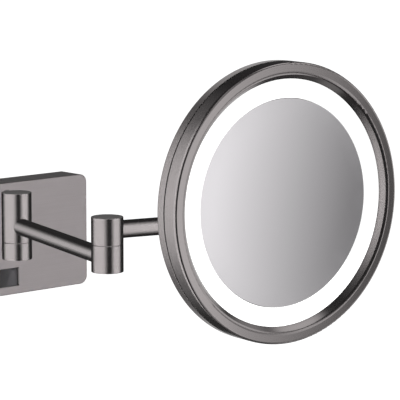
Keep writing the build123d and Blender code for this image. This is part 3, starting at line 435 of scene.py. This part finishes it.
def seen_ray(tree):
    """1 where the camera, a reflection or a see-through piece looks, 0 for the light on the part."""
    path = add(tree, "ShaderNodeLightPath")
    mirrored = add(
        tree,
        "ShaderNodeMath",
        {0: path.outputs["Is Camera Ray"], 1: path.outputs["Is Glossy Ray"]},
        operation="MAXIMUM",
    )
    seen = add(
        tree,
        "ShaderNodeMath",
        {0: mirrored.outputs["Value"], 1: path.outputs["Is Transmission Ray"]},
        operation="MAXIMUM",
    )
    return seen.outputs["Value"]


def between(tree, value, low, high, feather):
    """1 between two limits, 0 outside, with a soft edge."""
    rise = add(
        tree,
        "ShaderNodeMapRange",
        {"Value": value, "From Min": low - feather, "From Max": low + feather},
        interpolation_type="SMOOTHSTEP",
    )
    fall = add(
        tree,
        "ShaderNodeMapRange",
        {
            "Value": value,
            "From Min": high - feather,
            "From Max": high + feather,
            "To Min": 1.0,
            "To Max": 0.0,
        },
        interpolation_type="SMOOTHSTEP",
    )
    both = add(
        tree,
        "ShaderNodeMath",
        {0: rise.outputs["Result"], 1: fall.outputs["Result"]},
        operation="MULTIPLY",
    )
    return both.outputs["Value"]


def studio_direction(tree):
    """Direction from the studio's centre: its shares towards the camera, to the right and up."""
    place = add(tree, "ShaderNodeNewGeometry")
    offset = add(
        tree, "ShaderNodeVectorMath", {0: place.outputs["Position"], 1: STUDIO_CENTRE}, operation="SUBTRACT"
    )
    unit = add(tree, "ShaderNodeVectorMath", {0: offset.outputs["Vector"]}, operation="NORMALIZE")
    shares = [
        add(tree, "ShaderNodeVectorMath", {0: unit.outputs["Vector"], 1: axis}, operation="DOT_PRODUCT")
        for axis in (TO_CAMERA, TO_RIGHT, UP)
    ]
    return [share.outputs["Value"] for share in shares]


def window(tree, direction, side, height):
    """Soft-edged window: side angles from the camera and heights in degrees, (low, high, feather)."""
    ahead, aside, rise = direction
    turn = add(tree, "ShaderNodeMath", {0: aside, 1: ahead}, operation="ARCTAN2")
    lift = add(tree, "ShaderNodeMath", {0: rise}, operation="ARCSINE")
    both = add(
        tree,
        "ShaderNodeMath",
        {
            0: between(tree, turn.outputs["Value"], *[radians(angle) for angle in side]),
            1: between(tree, lift.outputs["Value"], *[radians(angle) for angle in height]),
        },
        operation="MULTIPLY",
    )
    return both.outputs["Value"]


def studio_object(name, mesh, material):
    """Stage object that only reflections see."""
    thing = bpy.data.objects.new(name, mesh)
    thing.data.materials.append(material)
    bpy.context.scene.collection.objects.link(thing)
    for ray in ("camera", "diffuse", "shadow", "transmission", "volume_scatter"):
        setattr(thing, f"visible_{ray}", False)
    return thing


def ball_mesh(name, radius):
    """Ball of flat faces round the studio's centre."""
    mesh = bpy.data.meshes.new(name)
    ball = bmesh.new()
    bmesh.ops.create_icosphere(ball, subdivisions=BALL_FINENESS, radius=radius)
    bmesh.ops.translate(ball, vec=STUDIO_CENTRE, verts=ball.verts)
    ball.to_mesh(mesh)
    ball.free()
    return mesh


def card_mesh(name, centre, aim, width, height):
    """Flat upright card that faces a point."""
    facing = (aim - centre).normalized()
    side = UP.cross(facing).normalized() * width / 2
    rise = facing.cross(side).normalized() * height / 2
    mesh = bpy.data.meshes.new(name)
    corners = [centre - side - rise, centre + side - rise, centre + side + rise, centre - side + rise]
    mesh.from_pydata(corners, [], QUAD)
    return mesh


def see_through_glow(tree, strength):
    """Adds light to what a reflection sees, without hiding what is behind."""
    glow = add(tree, "ShaderNodeEmission", {"Strength": strength})
    clear = add(tree, "ShaderNodeBsdfTransparent")
    both = add(tree, "ShaderNodeAddShader", {0: glow.outputs["Emission"], 1: clear.outputs["BSDF"]})
    show(tree, both.outputs["Shader"])


def only_on(light, nodes):
    """Lets a light shine on some pieces only."""
    group = bpy.data.collections.new(f"lit_by_{light.name}")
    for node in nodes:
        group.objects.link(NODES[node])
    light.light_linking.receiver_collection = group


# The photograph's pieces don't mirror one another, so reflections see the studio alone
for thing in NODES.values():
    thing.visible_glossy = False

# Right softbox, far off in black walls, kept off the rim and the glass by a flag
RIGHT_SOFTBOX = ((38, 97, 17), (-50, 52, 24))
RIGHT_RADIUS = 8.0
FLAGGED = ("rim_front", "mirror_glass")
material, tree = new_material("studio_right_softbox")
right_window = window(tree, studio_direction(tree), *RIGHT_SOFTBOX)
glow = add(tree, "ShaderNodeEmission", {"Strength": right_window})
show(tree, glow.outputs["Emission"])
right = studio_object("studio_right_softbox", ball_mesh("studio_right_softbox", RIGHT_RADIUS), material)
only_on(right, [node for node in NODES if node not in FLAGGED])

# Dim see-through walls with the left softbox in them
LEFT_SOFTBOX = ((-111, -16, 20), (-72, 48, 16))
LEFT_LEVEL = 1.0
WALL_LEVEL = 0.035
WALL_RADIUS = 1.4
material, tree = new_material("studio_wall_left_softbox")
left_window = window(tree, studio_direction(tree), *LEFT_SOFTBOX)
wall = add(
    tree, "ShaderNodeMath", {0: left_window, 1: LEFT_LEVEL, 2: WALL_LEVEL}, operation="MULTIPLY_ADD"
)
see_through_glow(tree, wall.outputs["Value"])
studio_object("studio_wall", ball_mesh("studio_wall", WALL_RADIUS), material)


def softbox(name, radius, nodes, *windows):
    """Windows of light, (strength, side, height), on a see-through ball that some pieces show."""
    material, tree = new_material(name)
    direction = studio_direction(tree)
    total = 0.0
    for strength, side, height in windows:
        light = add(
            tree,
            "ShaderNodeMath",
            {0: window(tree, direction, side, height), 1: strength, 2: total},
            operation="MULTIPLY_ADD",
        )
        total = light.outputs["Value"]
    see_through_glow(tree, total)
    only_on(studio_object(name, ball_mesh(name, radius), material), nodes)


# Radii of the see-through balls, one inside the other, and a side range past the full turn
SEAM_RADIUS = 1.32
ARM_RADIUS = 1.29
GLOW_RADIUS = 1.26
RIM_RADIUS = 1.23
BACK_RADIUS = 1.2
ALL_ROUND = (-400, 400, 1)

# Windows overhead and below, for the chamfers of the pivots' seams
PIVOT_HALVES = ("post_base", "post_sleeve", "elbow_lower", "elbow_upper", "head_lower", "head_upper")
OVERHEAD = (0.55, ALL_ROUND, (50, 100, 8))
BELOW = (0.55, ALL_ROUND, (-100, -50, 8))
softbox("studio_seam_windows", SEAM_RADIUS, PIVOT_HALVES, OVERHEAD, BELOW)

# Windows for the arms: a panel behind on the left for the middle of the rear one, and a strip
# that brings the right softbox further round for the front one
ARMS = ("rear_arm_tube", "front_arm_tube")
REAR_ARM_PANEL = (0.8, (-141, -100, 12), (-18, 15, 11))
FRONT_ARM_STRIP = (0.18, (30, 60, 12), (-30, 36, 14))
softbox("studio_arm_windows", ARM_RADIUS, ARMS, REAR_ARM_PANEL, FRONT_ARM_STRIP)

# A low glow all round, for the upward faces
TOPS = ("wall_cover", "post_sleeve", "post_top_cap", "elbow_upper", "elbow_top_cap")
TOP_GLOW = (0.12, ALL_ROUND, (4, 60, 6))
softbox("studio_back_glow", GLOW_RADIUS, TOPS, TOP_GLOW)

# Windows for the rim: behind on the left for its side, two on the right for its rounded edges,
# and for the bevel one low behind on the right, one above that and one far below
RIM = ("rim_front", "rear_shell")
RIM_SIDE = (0.2, (-150, -100, 17), (-50, 45, 17))
RIM_EDGE = (0.7, (85, 121, 6), (-54, 30, 8))
RIM_EDGE_ABOVE = (0.75, (68, 120, 8), (38, 66, 6))
BEVEL_LOW = (0.65, (128, 181, 8), (-26, 5, 5))
BEVEL_ABOVE = (0.3, (122, 141, 6), (15, 34, 5))
BEVEL_BELOW = (0.25, (70, 118, 8), (-86, -62, 5))
softbox(
    "studio_rim_windows",
    RIM_RADIUS,
    RIM,
    RIM_SIDE,
    RIM_EDGE,
    RIM_EDGE_ABOVE,
    BEVEL_LOW,
    BEVEL_ABOVE,
    BEVEL_BELOW,
)

# A window behind, in two halves, for the pieces that are seen from there
BACKS = ("rear_shell", "wall_bracket", "cable_grommet", "hinge_bracket", "tilt_barrel", "head_stub")
BACK_RIGHT = (0.45, (155, 400, 20), (-45, 60, 15))
BACK_LEFT = (0.45, (-400, -155, 20), (-45, 60, 15))
softbox("studio_back_window", BACK_RADIUS, BACKS, BACK_RIGHT, BACK_LEFT)


def gradient_card(name, centre, aim, size, bright_end, dark_end, levels, node, soft_edge=None):
    """Card whose light falls off from one point to another, shown to one piece.

    A soft edge, two shares of the run between the points, fades it in before it falls off.
    """
    material, tree = new_material(name)
    run = dark_end - bright_end
    place = add(tree, "ShaderNodeNewGeometry")
    offset = add(
        tree, "ShaderNodeVectorMath", {0: place.outputs["Position"], 1: bright_end}, operation="SUBTRACT"
    )
    share = add(
        tree,
        "ShaderNodeVectorMath",
        {0: offset.outputs["Vector"], 1: run / run.length_squared},
        operation="DOT_PRODUCT",
    )
    fall_off = add(
        tree,
        "ShaderNodeMapRange",
        {"Value": share.outputs["Value"], "To Min": levels[0], "To Max": levels[1]},
    )
    light = fall_off.outputs["Result"]
    if soft_edge:
        fade = add(
            tree,
            "ShaderNodeMapRange",
            {"Value": share.outputs["Value"], "From Min": soft_edge[0], "From Max": soft_edge[1]},
            interpolation_type="SMOOTHSTEP",
        )
        faded = add(tree, "ShaderNodeMath", {0: light, 1: fade.outputs["Result"]}, operation="MULTIPLY")
        light = faded.outputs["Value"]
    see_through_glow(tree, light)
    only_on(studio_object(name, card_mesh(name, centre, aim, *size), material), [node])


# Card that the rim's face shows: bright on its left, with a soft edge there
RIM_CARD = HEAD + Vector((0.3286, -0.562, -0.078))
RIM_CARD_SIZE = (0.5, 0.9)
RIM_CARD_SHIFT = UP.cross(RIM_CARD - MIRROR).normalized() * 0.06
RIM_FALL_OFF = TILT_AXIS * 0.982 - UP * 0.19
RIM_BRIGHT_REACH = 0.1189
RIM_DARK_REACH = 0.0779
RIM_LEVELS = (1.26, 0.02)
RIM_SOFT_EDGE = (-0.2, 0.46)
gradient_card(
    "studio_rim_card",
    RIM_CARD + RIM_CARD_SHIFT,
    MIRROR,
    RIM_CARD_SIZE,
    RIM_CARD - RIM_FALL_OFF * RIM_BRIGHT_REACH,
    RIM_CARD + RIM_FALL_OFF * RIM_DARK_REACH,
    RIM_LEVELS,
    "rim_front",
    soft_edge=RIM_SOFT_EDGE,
)

# Card close to the rim, which fills its left half
FILL_DISTANCE = 0.0866
FILL_SIZE = (0.12, 0.5)
FILL_SHIFT = TILT_AXIS * -0.02
FILL_BRIGHT_REACH = 0.08
FILL_DARK_REACH = 0.02
FILL_LEVELS = (0.42, 0.0)
FILL_CARD = MIRROR + MIRROR_FRONT * FILL_DISTANCE
gradient_card(
    "studio_rim_fill",
    FILL_CARD + FILL_SHIFT,
    MIRROR + FILL_SHIFT,
    FILL_SIZE,
    FILL_CARD - TILT_AXIS * FILL_BRIGHT_REACH,
    FILL_CARD + TILT_AXIS * FILL_DARK_REACH,
    FILL_LEVELS,
    "rim_front",
)

# Card that the glass shows: bright on its left, grey on its right
GLASS_CARD_BRIGHT = HEAD + Vector((0.7576, -1.003, -0.129))
GLASS_CARD_DARK = HEAD + Vector((0.5966, -1.113, -0.129))
GLASS_CARD_SIZE = (0.9, 0.9)
GLASS_LEVELS = (0.79, 0.19)
gradient_card(
    "studio_glass_card",
    (GLASS_CARD_BRIGHT + GLASS_CARD_DARK) / 2,
    MIRROR,
    GLASS_CARD_SIZE,
    GLASS_CARD_BRIGHT,
    GLASS_CARD_DARK,
    GLASS_LEVELS,
    "mirror_glass",
)

# Floor: pale, white to the eye, and dimmer where the part shades it
FLOOR_Z = -1.45
FLOOR_HALF = 30.0
FLOOR_TONE = "#d9d9d9"
FLOOR_OWN_LIGHT = 0.95
mesh = bpy.data.meshes.new("studio_floor")
corners = [(x * FLOOR_HALF, y * FLOOR_HALF, FLOOR_Z) for x, y in ((-1, -1), (1, -1), (1, 1), (-1, 1))]
mesh.from_pydata(corners, [], QUAD)
material, tree = new_material("studio_floor_pale_paint")
paint = add(tree, "ShaderNodeBsdfDiffuse", {"Color": linear(FLOOR_TONE)})
own = add(tree, "ShaderNodeMath", {0: seen_ray(tree), 1: FLOOR_OWN_LIGHT}, operation="MULTIPLY")
glow = add(tree, "ShaderNodeEmission", {"Strength": own.outputs["Value"]})
both = add(tree, "ShaderNodeAddShader", {0: paint.outputs["BSDF"], 1: glow.outputs["Emission"]})
show(tree, both.outputs["Shader"])
mesh.materials.append(material)
floor = bpy.data.objects.new("studio_floor", mesh)
bpy.context.scene.collection.objects.link(floor)
floor.visible_glossy = False

# World: white to every ray that looks at it, a soft even light on the part
AMBIENT = 0.32
WORLD_TONE = "#ffffff"
world = bpy.data.worlds.new("studio_white")
world.use_nodes = True
tree = world.node_tree
tree.nodes.clear()
soft = add(tree, "ShaderNodeBackground", {"Strength": AMBIENT})
white = add(tree, "ShaderNodeBackground", {"Color": linear(WORLD_TONE), "Strength": 1.0})
sky = add(
    tree,
    "ShaderNodeMixShader",
    {0: seen_ray(tree), 1: soft.outputs["Background"], 2: white.outputs["Background"]},
)
add(tree, "ShaderNodeOutputWorld", {"Surface": sky.outputs["Shader"]})
bpy.context.scene.world = world

# Key lamp: a soft panel high on the right, for the matt pieces and the floor's shadow
KEY_PLACE = Vector((1.2, -1.2, 2.2))
KEY_SIZE = 0.6
KEY_POWER = 105.0
lamp = bpy.data.lights.new("studio_key", "AREA")
lamp.shape = "SQUARE"
lamp.size = KEY_SIZE
lamp.energy = KEY_POWER
key = bpy.data.objects.new("studio_key", lamp)
key.location = KEY_PLACE
key.rotation_euler = (Vector(STUDIO_CENTRE) - KEY_PLACE).to_track_quat("-Z", "Y").to_euler()
key.visible_glossy = False
bpy.context.scene.collection.objects.link(key)

# Camera
lens = bpy.data.cameras.new("camera")
lens.sensor_width = SENSOR_WIDTH
lens.lens = FOCAL_PX / FRAME_WIDTH_PX * SENSOR_WIDTH
lens.clip_end = CAMERA_REACH
camera = bpy.data.objects.new("camera", lens)
camera.location = POST + CAMERA_FROM_POST
camera.rotation_euler = (radians(90 - CAMERA_DOWN), 0, radians(CAMERA_TURN))
bpy.context.scene.collection.objects.link(camera)
bpy.context.scene.camera = camera
bpy.context.scene.view_settings.view_transform = "Standard"
